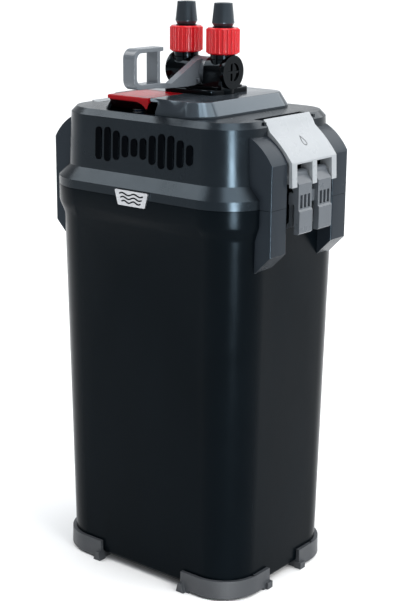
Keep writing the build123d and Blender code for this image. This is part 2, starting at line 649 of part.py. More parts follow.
def valve_cap():
    """End plug of the barrel: a rim round a recessed disc with a cross of ribs."""
    plug = rod_x(PORT_Y, BARREL_Z, (28.6, BARREL_HALF), 9.0)
    plug -= rod_x(PORT_Y, BARREL_Z, (BARREL_HALF - 1.4, BARREL_HALF + 1), 7.6)
    ribs = box((29, BARREL_HALF - 0.4), (PORT_Y - 0.9, PORT_Y + 0.9), (BARREL_Z - 7.7, BARREL_Z + 7.7))
    ribs += box((29, BARREL_HALF - 0.4), (PORT_Y - 7.7, PORT_Y + 7.7), (BARREL_Z - 0.9, BARREL_Z + 0.9))
    return plug + ribs


def valve_spindle():
    """Shaft with a drilled plug at each end: one turn of the lever opens or shuts both ports."""
    plug = rod_x(PORT_Y, BARREL_Z, (HUB_HALF + 2.5, 28.3), 8.7)
    plug -= post(PORT_X, PORT_Y, (BARREL_Z - 12, BARREL_Z + 12), PORT_BORE_R - 0.2)
    return both_x(plug) + rod_x(PORT_Y, BARREL_Z, (-HUB_HALF - 3, HUB_HALF + 3), 4.0)


def valve_lever():
    """Thin looped handle on a tapering arm, with its hub between the two ports."""
    front, rear = LEVER_FRONT_Y, LEVER_REAR_Y
    low, high = LEVER_Z
    band = 3.4
    lip = rear + 4
    outer = Polyline((rear, low), (front, low), (front, high), (lip, high), (lip, high - band + 0.4),
                     (rear, high - band), close=True)
    outer_face = fillet(make_face(outer).vertices().sort_by(Axis.X)[:2], 8.0)
    inner_size = (rear - front - 2 * band - 0.2, high - low - 2 * band - 0.6)
    inner_face = Pos((front + rear) / 2 + 0.1, (high + low) / 2 + 0.3) * Rectangle(*inner_size)
    inner_face = fillet(inner_face.vertices().sort_by(Axis.X)[:2], 5.6)
    loop = slab_x(outer_face - inner_face, LEVER_HALF)
    loop = fillet(loop.faces().filter_by(Axis.X).edges(), 0.6)
    arm_outline = Polyline((-62, low + 0.1), (-45, 420.6), (-18, 419.9), (-8, 420.3), (0, 422.0), (6, 441.5),
                           (-5, 440.5), (-38.5, 423.9), (-45, 424.8), (rear - 1, low + band), (-62, low + band),
                           close=True)
    taper = Polyline((-LEVER_HALF, -63), (LEVER_HALF, -63), (LEVER_HALF, rear), (ARM_HALF, -41), (ARM_HALF, 9),
                     (-ARM_HALF, 9), (-ARM_HALF, -41), (-LEVER_HALF, rear), close=True)
    arm = slab_x(make_face(arm_outline), LEVER_HALF) & Pos(0, 0, 400) * extrude(make_face(taper), amount=60)
    hub = rod_x(PORT_Y, BARREL_Z, (-HUB_HALF, HUB_HALF), HUB_R)
    stud = rod_x(-5.6, 424.6, (ARM_HALF - 0.5, ARM_HALF + 2.2), 1.5)
    return loop + arm + hub + stud - rod_x(PORT_Y, BARREL_Z, (-10, 10), 4.0)


def lock_nut(x):
    """Hose nut with upright flutes."""
    body = tube(0, 0, NUT_Z, NECK_R + GAP, NUT_R - 0.9)
    body = chamfer(body.edges().filter_by(GeomType.CIRCLE).sort_by(SortBy.RADIUS)[-2:], 0.8)
    rib = Pos(NUT_R - 1.3, 0, (NUT_Z[0] + NUT_Z[1]) / 2) * Cylinder(1.3, NUT_Z[1] - NUT_Z[0] - 2.4)
    body += [Rot(0, 0, turn * 360 / 22) * rib for turn in range(22)]
    body -= post(0, 0, (NUT_Z[0] - 1, NUT_Z[1] + 1), NECK_R + GAP)
    return Pos(x, PORT_Y, 0) * body


def hose_barbs():
    profile = Polyline((PORT_BORE_R - 0.2, BARB_Z), (7.6, BARB_Z), (9.3, 471.0), (7.6, TOTAL_HEIGHT),
                       (PORT_BORE_R - 0.2, TOTAL_HEIGHT), close=True)
    barb = revolve(make_face(Plane.XZ * profile), Axis.Z)
    return [Pos(x, PORT_Y, 0) * barb for x in (-PORT_X, PORT_X)]


nodes["valve_base"] = valve_base()
nodes["valve_body"] = valve_body()
nodes["valve_caps"] = [valve_cap(), mirror(valve_cap(), Plane.YZ)]
nodes["valve_spindle"] = valve_spindle()
nodes["valve_lever"] = valve_lever()
nodes["lock_nut_left"] = lock_nut(-PORT_X)
nodes["lock_nut_right"] = lock_nut(PORT_X)
nodes["hose_barbs"] = hose_barbs()
nodes["port_seals"] = [tube(x, PORT_Y, (401.0, 404.0), SOCKET_R - 1.2, DUCT_R[0] - GAP)
                       for x in (-PORT_X, PORT_X)]


# ---- one STEP file per node -----------------------------------------------------------------------
os.makedirs("parts", exist_ok=True)
for name, shape in nodes.items():
    if isinstance(shape, list):
        shape = Compound(children=[Part() + piece for piece in shape])
    export_step(shape, f"parts/{name}.step")
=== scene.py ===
import json
import math
import random

import bmesh
import bpy
from mathutils import Matrix, Vector, noise


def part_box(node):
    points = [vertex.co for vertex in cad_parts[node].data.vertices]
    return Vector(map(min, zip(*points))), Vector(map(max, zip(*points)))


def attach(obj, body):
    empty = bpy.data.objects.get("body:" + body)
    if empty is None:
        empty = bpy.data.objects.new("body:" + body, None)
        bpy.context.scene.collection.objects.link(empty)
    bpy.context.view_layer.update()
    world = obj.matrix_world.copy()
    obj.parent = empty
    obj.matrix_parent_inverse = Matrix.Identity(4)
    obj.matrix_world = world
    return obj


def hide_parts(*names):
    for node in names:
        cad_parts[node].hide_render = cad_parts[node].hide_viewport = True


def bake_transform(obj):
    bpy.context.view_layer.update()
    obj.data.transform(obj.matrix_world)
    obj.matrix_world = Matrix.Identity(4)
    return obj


MM = 0.001
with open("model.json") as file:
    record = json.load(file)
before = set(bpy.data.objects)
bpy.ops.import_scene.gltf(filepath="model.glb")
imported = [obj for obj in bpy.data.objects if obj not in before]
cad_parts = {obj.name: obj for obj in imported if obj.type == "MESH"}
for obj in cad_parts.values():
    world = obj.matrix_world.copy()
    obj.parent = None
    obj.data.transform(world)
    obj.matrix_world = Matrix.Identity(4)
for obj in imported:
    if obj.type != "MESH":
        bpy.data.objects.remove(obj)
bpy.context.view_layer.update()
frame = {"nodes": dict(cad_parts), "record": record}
nodes = frame["nodes"]
record = frame["record"]
slot_of = {part["node"]: part["material_slot"] for part in record["subparts"]}


# ---- camera ---------------------------------------------------------------------------------
def make_camera():
    az, el, roll = (math.radians(a) for a in (38.594, 15.47, 0.494))
    right = Vector((math.cos(az), math.sin(az), 0))
    back = Vector((math.sin(az) * math.cos(el), -math.cos(az) * math.cos(el), math.sin(el)))
    up = back.cross(right)
    aim = right * 0.003577 + Vector((0, 0, 0.232569))
    place = aim + back * 1.187119
    x = right * math.cos(roll) + up * math.sin(roll)
    y = up * math.cos(roll) - right * math.sin(roll)
    data = bpy.data.cameras.new("camera")
    data.sensor_fit = "VERTICAL"
    data.sensor_height = 24.0
    data.lens = 54.375
    data.clip_end = 60.0
    camera = bpy.data.objects.new("camera", data)
    camera.matrix_world = Matrix.Translation(place) @ Matrix((x, y, back)).transposed().to_4x4()
    bpy.context.scene.collection.objects.link(camera)
    bpy.context.scene.camera = camera


# ---- materials ------------------------------------------------------------------------------
def graph(name):
    """A new material with its node tree, its shader and an object-coordinate node."""
    m = bpy.data.materials.new(name)
    m.use_nodes = True
    tree = m.node_tree
    shader = next(n for n in tree.nodes if n.type == "BSDF_PRINCIPLED")
    coord = tree.nodes.new("ShaderNodeTexCoord")
    return m, tree, shader, coord.outputs["Object"]


def noise_node(tree, where, size, detail=3.0, rough=0.55):
    """Noise whose features are about size metres across."""
    n = tree.nodes.new("ShaderNodeTexNoise")
    n.inputs["Scale"].default_value = 1.0 / size
    n.inputs["Detail"].default_value = detail
    n.inputs["Roughness"].default_value = rough
    tree.links.new(where, n.inputs["Vector"])
    return n.outputs["Fac"]


def ranged(tree, value, low, high, clip=(0.3, 0.7)):
    """value, from the clip range to low..high."""
    n = tree.nodes.new("ShaderNodeMapRange")
    n.inputs["From Min"].default_value = clip[0]
    n.inputs["From Max"].default_value = clip[1]
    n.inputs["To Min"].default_value = low
    n.inputs["To Max"].default_value = high
    tree.links.new(value, n.inputs["Value"])
    return n.outputs["Result"]


def mixed(tree, factor, a, b):
    """Colour a where factor is 0 and b where it is 1; each is a colour or an output."""
    n = tree.nodes.new("ShaderNodeMix")
    n.data_type = "RGBA"
    tree.links.new(factor, n.inputs[0])
    for value, socket in ((a, n.inputs[6]), (b, n.inputs[7])):
        if isinstance(value, tuple):
            socket.default_value = (*value, 1.0)
        else:
            tree.links.new(value, socket)
    return n.outputs[2]


def bumped(tree, height, depth, normal=None):
    """A bump of that depth in metres."""
    n = tree.nodes.new("ShaderNodeBump")
    n.inputs["Strength"].default_value = 1.0
    n.inputs["Distance"].default_value = depth
    tree.links.new(height, n.inputs["Height"])
    if normal is not None:
        tree.links.new(normal, n.inputs["Normal"])
    return n.outputs["Normal"]


def stretched(tree, where, scale):
    """Coordinates scaled per axis, so that a texture runs in streaks."""
    n = tree.nodes.new("ShaderNodeMapping")
    n.inputs["Scale"].default_value = scale
    tree.links.new(where, n.inputs["Vector"])
    return n.outputs["Vector"]


# Mask for the painted shade in the pedal's scoop.
def behind_and_below(tree, where, y, z):
    """1 behind the plane y and below the height z, both in metres, and 0 elsewhere."""
    parts = tree.nodes.new("ShaderNodeSeparateXYZ")
    tree.links.new(where, parts.inputs[0])
    both = tree.nodes.new("ShaderNodeMath")
    both.operation = "MULTIPLY"
    tree.links.new(ranged(tree, parts.outputs[1], 0, 1, (y, y + 0.0002)), both.inputs[0])
    tree.links.new(ranged(tree, parts.outputs[2], 1, 0, (z - 0.0006, z)), both.inputs[1])
    return both.outputs[0]


def shade(color, amount):
    """A colour made darker or lighter."""
    return tuple(min(1.0, c * amount) for c in color)


def moulded(name, color, rough, grain=0.00035, depth=0.00002, vary=0.16, spec=0.5, tint=None, worn=0.0,
            scoop_shade=None):
    """Injection-moulded plastic: spark-eroded grain, slow flow marks, handled patches and fine dust;
    optionally, painted shade behind and below a plane.
    """
    m, tree, shader, where = graph(name)
    slow = noise_node(tree, stretched(tree, where, (1, 1, 0.45)), 0.05, 3.0)
    fine = noise_node(tree, where, 0.0016, 4.0, 0.7)
    tone = mixed(tree, ranged(tree, slow, 0, 1), shade(color, 1 - vary), shade(color, 1 + vary))
    dust = ranged(tree, fine, 0.0, 0.09 + worn, (0.62, 0.78))
    tone = mixed(tree, dust, tone, shade(color, 2.2 + 2 * worn))
    # Painted shade: behind the plane y and below the height z the colour is painted dark, standing in for
    # the shade in the pedal's scoop.
    if scoop_shade:
        y, z, painted_shade = scoop_shade
        tone = mixed(tree, behind_and_below(tree, where, y, z), tone, painted_shade)
    tree.links.new(tone, shader.inputs["Base Color"])
    patch = noise_node(tree, where, 0.018, 5.0, 0.6)
    tree.links.new(ranged(tree, patch, rough * 0.82, rough * 1.2), shader.inputs["Roughness"])
    shader.inputs["Specular IOR Level"].default_value = spec
    if tint:
        shader.inputs["Specular Tint"].default_value = (*tint, 1.0)
    grains = tree.nodes.new("ShaderNodeTexVoronoi")
    grains.inputs["Scale"].default_value = 1.0 / grain
    tree.links.new(where, grains.inputs["Vector"])
    first = bumped(tree, grains.outputs["Distance"], depth)
    waves = noise_node(tree, where, 0.022, 2.0)
    tree.links.new(bumped(tree, waves, 0.00012, first), shader.inputs["Normal"])
    return m


def metal(name, color, rough, grain_scale=(40, 40, 4000), depth=0.000012, metallic=1.0, vary=0.1):
    """Brushed or drawn metal: long fine streaks in colour, roughness and bump."""
    m, tree, shader, where = graph(name)
    streaks = noise_node(tree, stretched(tree, where, grain_scale), 1.0, 4.0, 0.6)
    slow = noise_node(tree, where, 0.012, 3.0)
    tone = mixed(tree, ranged(tree, streaks, 0, 1), shade(color, 1 - vary), shade(color, 1 + vary))
    tone = mixed(tree, ranged(tree, slow, 0.0, 0.3), tone, shade(color, 0.8))
    tree.links.new(tone, shader.inputs["Base Color"])
    tree.links.new(ranged(tree, streaks, rough * 0.75, rough * 1.3), shader.inputs["Roughness"])
    shader.inputs["Metallic"].default_value = metallic
    tree.links.new(bumped(tree, streaks, depth), shader.inputs["Normal"])
    return m


def cellular(name, dark, light, cell, depth, rough=0.9, sheen=0.2):
    """Open-cell foam, granules or fibre: rounded cells with dark pores between them."""
    m, tree, shader, where = graph(name)
    cells = tree.nodes.new("ShaderNodeTexVoronoi")
    cells.inputs["Scale"].default_value = 1.0 / cell
    tree.links.new(where, cells.inputs["Vector"])
    fuzz = noise_node(tree, where, cell * 0.6, 5.0, 0.7)
    slow = noise_node(tree, where, 0.02, 3.0)
    tone = mixed(tree, ranged(tree, cells.outputs["Distance"], 0, 1, (0.1, 0.75)), light, dark)
    tone = mixed(tree, ranged(tree, slow, 0.0, 0.45), tone, dark)
    tree.links.new(tone, shader.inputs["Base Color"])
    tree.links.new(ranged(tree, fuzz, rough - 0.12, min(1.0, rough + 0.08)), shader.inputs["Roughness"])
    shader.inputs["Sheen Weight"].default_value = sheen
    first = bumped(tree, cells.outputs["Distance"], -depth)
    tree.links.new(bumped(tree, fuzz, depth * 0.5, first), shader.inputs["Normal"])
    return m


def woven(name, thread, gap, pitch=0.0016):
    """Plastic mesh cloth: two crossed sets of threads over dark granules."""
    m, tree, shader, where = graph(name)
    sets = []
    for axis in ("X", "Y"):
        w = tree.nodes.new("ShaderNodeTexWave")
        w.bands_direction = axis
        w.inputs["Scale"].default_value = 0.314 / pitch
        w.inputs["Distortion"].default_value = 0.6
        tree.links.new(where, w.inputs["Vector"])
        sets.append(w.outputs["Fac"])
    top = tree.nodes.new("ShaderNodeMath")
    top.operation = "MAXIMUM"
    for i in (0, 1):
        tree.links.new(sets[i], top.inputs[i])
    weave = top.outputs[0]
    grains = noise_node(tree, where, 0.0035, 4.0)
    under = mixed(tree, ranged(tree, grains, 0, 1), gap, shade(gap, 2.5))
    tree.links.new(mixed(tree, ranged(tree, weave, 0, 1, (0.7, 0.9)), under, thread),
                   shader.inputs["Base Color"])
    tree.links.new(ranged(tree, weave, 0.85, 0.45, (0.6, 0.9)), shader.inputs["Roughness"])
    tree.links.new(bumped(tree, weave, 0.0003), shader.inputs["Normal"])
    return m


COOL = (0.64, 0.84, 1.0)


def make_materials():
    """One material for each of the record's slots, and one each for the clamp rails and the pedal, whose
    scoop has painted shade.
    """
    return {
        "canister_black": moulded("canister_black", (0.0016, 0.0029, 0.0042), 0.22, spec=0.045,
                                  depth=0.000010, tint=COOL),
        "lid_charcoal": moulded("lid_charcoal", (0.004, 0.0056, 0.0078), 0.24, spec=0.2,
                                depth=0.000012, tint=COOL),
        "rails": moulded("rails", (0.0155, 0.020, 0.026), 0.24, spec=0.12, depth=0.000014, tint=COOL),
        "cover_grey": moulded("cover_grey", (0.03, 0.036, 0.043), 0.15, spec=0.45, depth=0.000004,
                              tint=COOL),
        "clamp_silver": moulded("clamp_silver", (0.31, 0.33, 0.348), 0.28, spec=0.3,
                                depth=0.000008, vary=0.04),
        "lever_grey": moulded("lever_grey", (0.088, 0.1, 0.114), 0.3, spec=0.3, vary=0.08, worn=0.02),
        "foot_grey": moulded("foot_grey", (0.038, 0.042, 0.048), 0.45, grain=0.0006,
                             depth=0.00004, vary=0.1, worn=0.03, spec=0.4),
        # The pedal's colour behind its lip and below its top is painted near black: painted shade in the
        # scoop under the lip.
        "pedal_red": moulded("pedal_red", (0.3, 0.004, 0.008), 0.2, vary=0.1, spec=0.08,
                             scoop_shade=(-0.0602, 0.4098, (0.004, 0.0005, 0.0008))),
        "signal_red": moulded("signal_red", (0.62, 0.006, 0.012), 0.2, vary=0.1, spec=0.28),
        "valve_black": moulded("valve_black", (0.0006, 0.0007, 0.001), 0.11, vary=0.2,
                               depth=0.000003, spec=0.12, tint=COOL),
        "handle_grey": moulded("handle_grey", (0.115, 0.13, 0.147), 0.2, spec=0.3, vary=0.06, worn=0.02),
        "barb_black": moulded("barb_black", (0.022, 0.026, 0.031), 0.22, vary=0.15, spec=0.5, tint=COOL),
        "badge_silver": metal("badge_silver", (0.5, 0.51, 0.53), 0.3, (30, 30, 5000)),
        "inlay_gloss": moulded("inlay_gloss", (0.0004, 0.0006, 0.0012), 0.1, depth=0.000001,
                               spec=0.02, tint=COOL),
        "basket_grey": moulded("basket_grey", (0.30, 0.31, 0.32), 0.45, vary=0.08, worn=0.02),
        "cage_black": moulded("cage_black", (0.02, 0.021, 0.023), 0.5),
        "foam_black": cellular("foam_black", (0.006, 0.006, 0.007), (0.035, 0.036, 0.04),
                               0.0016, 0.0008),
        "floss_white": cellular("floss_white", (0.62, 0.65, 0.64), (0.86, 0.88, 0.87),
                                0.0035, 0.0006, sheen=0.5),
        "ceramic_cream": cellular("ceramic_cream", (0.56, 0.49, 0.38), (0.78, 0.72, 0.61),
                                  0.0007, 0.0001, rough=0.85, sheen=0.0),
        "carbon_mesh": woven("carbon_mesh", (0.09, 0.092, 0.1), (0.008, 0.008, 0.009)),
        "seal_rubber": moulded("seal_rubber", (0.018, 0.018, 0.02), 0.62, grain=0.0008,
                               depth=0.00003, spec=0.35),
        "steel_pin": metal("steel_pin", (0.60, 0.61, 0.63), 0.28, (4000, 40, 4000)),
        "stator_steel": metal("stator_steel", (0.32, 0.33, 0.35), 0.4, (60, 60, 2000)),
        "coil_copper": metal("coil_copper", (0.72, 0.33, 0.14), 0.3, (60, 60, 2600), 0.00008),
        "magnet_dark": moulded("magnet_dark", (0.035, 0.035, 0.04), 0.35),
        "impeller_blue": moulded("impeller_blue", (0.04, 0.1, 0.22), 0.3),
        "pump_grey": moulded("pump_grey", (0.05, 0.055, 0.06), 0.42),
    }


# ---- CAD nodes: welded, with their edges broken ------------------------------------------------
def soften(obj, width, segments=3, angle=28.0):
    """Rounds the edges of a CAD node with modifiers; its own vertices stay as they are."""
    data = obj.data
    if "custom_normal" in data.attributes:
        data.attributes.remove(data.attributes["custom_normal"])
    data.polygons.foreach_set("use_smooth", [True] * len(data.polygons))
    data.update()
    weld = obj.modifiers.new("weld", "WELD")
    weld.merge_threshold = 0.00001
    bevel = obj.modifiers.new("bevel", "BEVEL")
    bevel.width = width * MM
    bevel.segments = segments
    bevel.limit_method = "ANGLE"
    bevel.angle_limit = math.radians(angle)
    bevel.harden_normals = True


EDGE_MM = {
    "canister_shell": 0.9, "lid_shell": 0.8, "top_cover": 0.5, "clamp_plate_right": 0.6,
    "clamp_plate_left": 0.6, "clamp_lever_right": 0.45, "clamp_lever_left": 0.45,
    "valve_body": 0.45, "valve_base": 0.4, "valve_lever": 0.5, "lock_nut_left": 0.25,
    "lock_nut_right": 0.25, "primer_pedal": 0.35, "badge_plate": 0.3, "hose_barbs": 0.3,
    "canister_rails": 0.7, "lid_rails": 0.7,
    "foot_front_left": 0.9, "foot_front_right": 0.9, "foot_rear_left": 0.9, "foot_rear_right": 0.9,
}


LOOK = {"canister_rails": "rails", "lid_rails": "rails", "primer_pedal": "pedal_red"}


def finish_cad(materials):
    """Material, slot and broken edges for every node that comes from CAD."""
    for name, obj in nodes.items():
        obj.data.materials.clear()
        look = LOOK.get(name, slot_of[name])
        obj.data.materials.append(materials[look])
        soften(obj, EDGE_MM.get(name, 0.2), 3 if name in EDGE_MM else 2)


# ---- pieces built in mesh --------------------------------------------------------------------
def piece(name, verts, faces, body, slot, material, smooth=True):
    """A mesh object that rides on a body, or on none when no body is given."""
    data = bpy.data.meshes.new(name)
    data.from_pydata([tuple(v) for v in verts], [], faces)
    data.materials.append(material)
    data.polygons.foreach_set("use_smooth", [smooth] * len(data.polygons))
    made = bmesh.new()
    made.from_mesh(data)
    bmesh.ops.recalc_face_normals(made, faces=made.faces)
    made.to_mesh(data)
    made.free()
    data.update()
    obj = bpy.data.objects.new(name, data)
    bpy.context.scene.collection.objects.link(obj)
    if body:
        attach(obj, body)
    return obj


def make_spring(materials):
    """The primer spring: a wire coil in the CAD spring's place, on no body."""
    low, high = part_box("primer_spring")
    centre = (low + high) / 2
    wire, turns, steps, ring = 0.55, 3.5, 126, 10
    coil = (high.x - low.x) / 2 / MM - wire
    z0, z1 = low.z / MM + wire, high.z / MM - wire
    verts, faces = [], []
    for k in range(steps + 1):
        turn = 2 * math.pi * turns * k / steps
        out = Vector((math.cos(turn), math.sin(turn), 0))
        spot = out * coil + Vector((centre.x / MM, centre.y / MM, z0 + (z1 - z0) * k / steps))
        for i in range(ring):
            a = 2 * math.pi * i / ring
            verts.append((spot + out * wire * math.cos(a) + Vector((0, 0, wire * math.sin(a)))) * MM)
    for k in range(steps):
        for i in range(ring):
            j = (i + 1) % ring
            faces.append((k * ring + i, k * ring + j, (k + 1) * ring + j, (k + 1) * ring + i))
    faces += [tuple(range(ring)), tuple(range(steps * ring, (steps + 1) * ring))]
    slot = slot_of["primer_spring"]
    obj = piece("spring_coil", verts, faces, None, slot, materials[slot])
    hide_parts("primer_spring")
    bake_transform(obj)


def bevelled(obj, width, segments=3, angle=30.0):
    """Rounds the edges of a mesh piece; width is in mm."""
    bevel = obj.modifiers.new("bevel", "BEVEL")
    bevel.width = width * MM
    bevel.segments = segments
    bevel.limit_method = "ANGLE"
    bevel.angle_limit = math.radians(angle)
    bevel.harden_normals = True
    return obj


def prism(outline, near, far):
    """A closed outline of (a, b) pairs as a solid; near and far map a pair to a point of each end."""
    n = len(outline)
    verts = [near(*p) for p in outline] + [far(*p) for p in outline]
    faces = [tuple(range(n)), tuple(range(2 * n - 1, n - 1, -1))]
    faces += [(i, (i + 1) % n, n + (i + 1) % n, n + i) for i in range(n)]
    return verts, faces


def joined(parts):
    """Several (verts, faces) as one."""
    verts, faces = [], []
    for part_verts, part_faces in parts:
        start = len(verts)
        verts += part_verts
        faces += [tuple(i + start for i in f) for f in part_faces]
    return verts, faces


def capsule(x, z0, z1, half, steps=8):
    """Upright bar with round ends."""
    points = []
    for centre, start in ((z1 - half, 0), (z0 + half, math.pi)):
        for k in range(steps + 1):
            turn = start + math.pi * k / steps
            points.append((x + half * math.cos(turn), centre + half * math.sin(turn)))
    return points


def lid_wall_y(z):
    """y of the front wall of the lid at a height, in mm."""
    lean = (z - 352.6) / (396.5 - 352.6)
    return -75.0 + 1.5 * lean


def make_inlay(materials):
    """Panel of upright gloss bars whose lengths follow a wave, in the place of the front inlay."""
    low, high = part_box("front_inlay")
    bar = 3.3
    x0, x1 = low.x / MM + bar, high.x / MM - bar
    z0, z1 = low.z / MM, high.z / MM
    middle, reach = (z0 + z1) / 2, (z1 - z0) / 2
    count = 11
    parts = []
    proud, sunk = 0.88, 0.3
    waves, shift = 1.5, 0.9

    def near(a, b):
        return Vector((a, lid_wall_y(b) - proud, b)) * MM

    def far(a, b):
        return Vector((a, lid_wall_y(b) + sunk, b)) * MM

    for k in range(count):
        x = x0 + (x1 - x0) * k / (count - 1)
        swell = 0.76 + 0.24 * math.sin(2 * math.pi * waves * k / (count - 1) + shift)
        half = reach * swell
        parts.append(prism(capsule(x, middle - half, middle + half, bar), near, far))
    obj = piece("inlay_bars", *joined(parts), "lid", "inlay_gloss", materials["inlay_gloss"])
    bevelled(obj, 0.35)
    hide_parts("front_inlay")


def ribbon(points, half, near, far):
    """A band of half width half along a line of (a, b) points, as a prism."""
    sides = ([], [])
    for i, p in enumerate(points):
        a, b = points[max(i - 1, 0)], points[min(i + 1, len(points) - 1)]
        run = Vector((b[0] - a[0], b[1] - a[1])).normalized()
        for side, sign in zip(sides, (1, -1)):
            side.append((p[0] - run.y * half * sign, p[1] + run.x * half * sign))
    verts = [near(*q) for side in sides for q in side] + [far(*q) for side in sides for q in side]
    n = len(points)
    faces = []
    for i in range(n - 1):
        faces.append((i, i + 1, n + i + 1, n + i))
        faces.append((2 * n + i, 3 * n + i, 3 * n + i + 1, 2 * n + i + 1))
        faces.append((i, 2 * n + i, 2 * n + i + 1, i + 1))
        faces.append((n + i, n + i + 1, 3 * n + i + 1, 3 * n + i))
    for i in (0, n - 1):
        faces.append((i, n + i, 3 * n + i, 2 * n + i))
    return verts, faces


def make_badge_waves(materials):
    """Three raised wave lines on the blank plate."""
    face_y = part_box("badge_plate")[0].y / MM
    steps, height, half_line = 48, 0.85, 0.62
    proud, sunk = 0.28, 0.2

    def near(a, b):
        return Vector((a, face_y - proud, b)) * MM

    def far(a, b):
        return Vector((a, face_y + sunk, b)) * MM

    parts = []
    for z, span in ((338.4, 12.6), (335.3, 11.4), (332.2, 10.2)):
        line = []
        for k in range(steps + 1):
            u = -1 + 2 * k / steps
            line.append((u * span, z + height * math.sin(u * math.pi * 2.0)))
        parts.append(ribbon(line, half_line, near, far))
    obj = piece("badge_waves", *joined(parts), "canister", "valve_black", materials["valve_black"])
    bevelled(obj, 0.1, 2)


def rounded_rect(half_w, half_d, r, n):
    """n points round a rounded rectangle, evenly spaced along it."""
    r = max(0.2, min(r, half_w - 0.05, half_d - 0.05))
    straight_w, straight_d, arc = 2 * (half_w - r), 2 * (half_d - r), math.pi * r / 2
    total = 2 * (straight_w + straight_d) + 4 * arc
    points = []
    for k in range(n):
        s = total * k / n
        for corner in range(4):
            run = straight_d if corner % 2 == 0 else straight_w
            cx = (half_w - r) * (1 if corner in (0, 3) else -1)
            cy = (half_d - r) * (1 if corner in (0, 1) else -1)
            turn = corner * math.pi / 2
            if s <= run:
                back_run = Vector((-math.sin(turn), math.cos(turn))) * (s - run)
                points.append((cx + r * math.cos(turn) + back_run.x,
                               cy + r * math.sin(turn) + back_run.y))
                break
            s -= run
            if s <= arc:
                a = turn + s / r
                points.append((cx + r * math.cos(a), cy + r * math.sin(a)))
                break
            s -= arc
        else:
            points.append((half_w, half_d - r))
    return points


def pad_mesh(centre, half_w, half_d, corner, z0, z1, edge, crown, ripple, grain, seed, n=120):
    """A closed soft block: rounded plan, rolled edges, a slight crown and an uneven skin."""
    reach = min(half_w, half_d)
    insets = [reach * t for t in (0.985, 0.8, 0.62, 0.45, 0.3, 0.18, 0.1)]
    levels = []
    for t in insets:
        levels.append((max(t, edge), z0 + crown * (1 - t / reach) - crown))
    for k in range(1, 6):
        a = math.pi / 2 * k / 6
        levels.append((edge * (1 - math.sin(a)), z0 + edge * (1 - math.cos(a))))
    side = max(4, int((z1 - z0) / 3.5))
    for k in range(side + 1):
        levels.append((0.0, z0 + edge + (z1 - z0 - 2 * edge) * k / side))
    for k in range(5, 0, -1):
        a = math.pi / 2 * k / 6
        levels.append((edge * (1 - math.sin(a)), z1 - edge * (1 - math.cos(a))))
    for t in reversed(insets):
        levels.append((max(t, edge), z1))
    verts = []
    for inset, z in levels:
        for x, y in rounded_rect(half_w - inset, half_d - inset, corner - inset, n):
            level = min(max(z, z0), z1)
            p = Vector((centre[0] + x, centre[1] + y, level))
            wave = noise.noise(p / 17.0 + Vector((seed, 0, 0))) * ripple
            bump = noise.noise(p / grain + Vector((0, seed, 0))) * ripple * 0.6
            inward = Vector((-x / half_w, -y / half_d, -(2 * level - z0 - z1) / (z1 - z0)))
            verts.append((p + inward.normalized() * (ripple + wave + bump)) * MM)
    count = len(levels)
    faces = [tuple(range(n - 1, -1, -1)), tuple(range((count - 1) * n, count * n))]
    for j in range(count - 1):
        for i in range(n):
            k = (i + 1) % n
            faces.append((j * n + i, j * n + k, (j + 1) * n + k, (j + 1) * n + i))
    return verts, faces


def box_mm(node):
    """A node's box in mm, as two lists."""
    low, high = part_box(node)
    return [v / MM for v in low], [v / MM for v in high]


def make_media(materials):
    """The soft fillings: foam, floss and carbon bags, each a piece of its own."""
    for node, name, slot, ripple, grain, fill in (
            ("coarse_pad", "coarse_foam", "foam_black", 0.9, 2.6, 1.0),
            ("polish_pad", "polish_floss", "floss_white", 1.3, 5.0, 0.8)):
        low, high = box_mm(node)
        centre = ((low[0] + high[0]) / 2, (low[1] + high[1]) / 2)
        mesh = pad_mesh(centre, (high[0] - low[0]) / 2, (high[1] - low[1]) / 2, 22.4, low[2], high[2],
                        4.0, 0.0, ripple, grain, 3.7)
        obj = piece(name, *mesh, "basket_stack", slot, materials[slot])
        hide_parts(node)
    low, high = box_mm("foam_screens")
    bay = (high[2] - low[2] + 0.8) / 4
    for k in range(4):
        z0 = low[2] + k * (bay + 0.55)
        mesh = pad_mesh(((low[0] + high[0]) / 2, (low[1] + high[1]) / 2), (high[0] - low[0]) / 2,
                        (high[1] - low[1]) / 2, 2.0, z0, z0 + bay - 1.9, 1.2, 0.0, 0.5, 2.4, 11.0 + k, 140)
        obj = piece(f"foam_screen_{k + 1}", *mesh, "foam_frame", "foam_black", materials["foam_black"])
        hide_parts("foam_screens")
    low, high = box_mm("carbon_bags")
    for k in range(3):
        x = (-52.5, 0.0, 52.5)[k]
        y = (low[1] + high[1]) / 2
        around = 96
        bag = pad_mesh((x, y), 24.8, 41.5, 12.0, low[2], high[2], 15.0, 0.0, 0.9, 3.4, 21.0 + k, around)
        under, over = (low[2] + high[2]) / 2 - 0.5, (low[2] + high[2]) / 2 + 0.5
        rim = rounded_rect(25.0, 42.0, 12.0, around)
        inner = rounded_rect(23.0, 40.0, 10.0, around)
        seam_verts, seam_faces = [], []
        for ring, z in ((rim, under), (rim, over), (inner, over), (inner, under)):
            seam_verts += [Vector((x + px, y + py, z)) * MM for px, py in ring]
        for a in range(4):
            b = (a + 1) % 4
            for i in range(around):
                j = (i + 1) % around
                seam_faces.append((a * around + i, a * around + j, b * around + j, b * around + i))
        obj = piece(f"carbon_bag_{k + 1}", *joined([bag, (seam_verts, seam_faces)]), "basket_stack",
                    "carbon_mesh", materials["carbon_mesh"])
        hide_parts("carbon_bags")


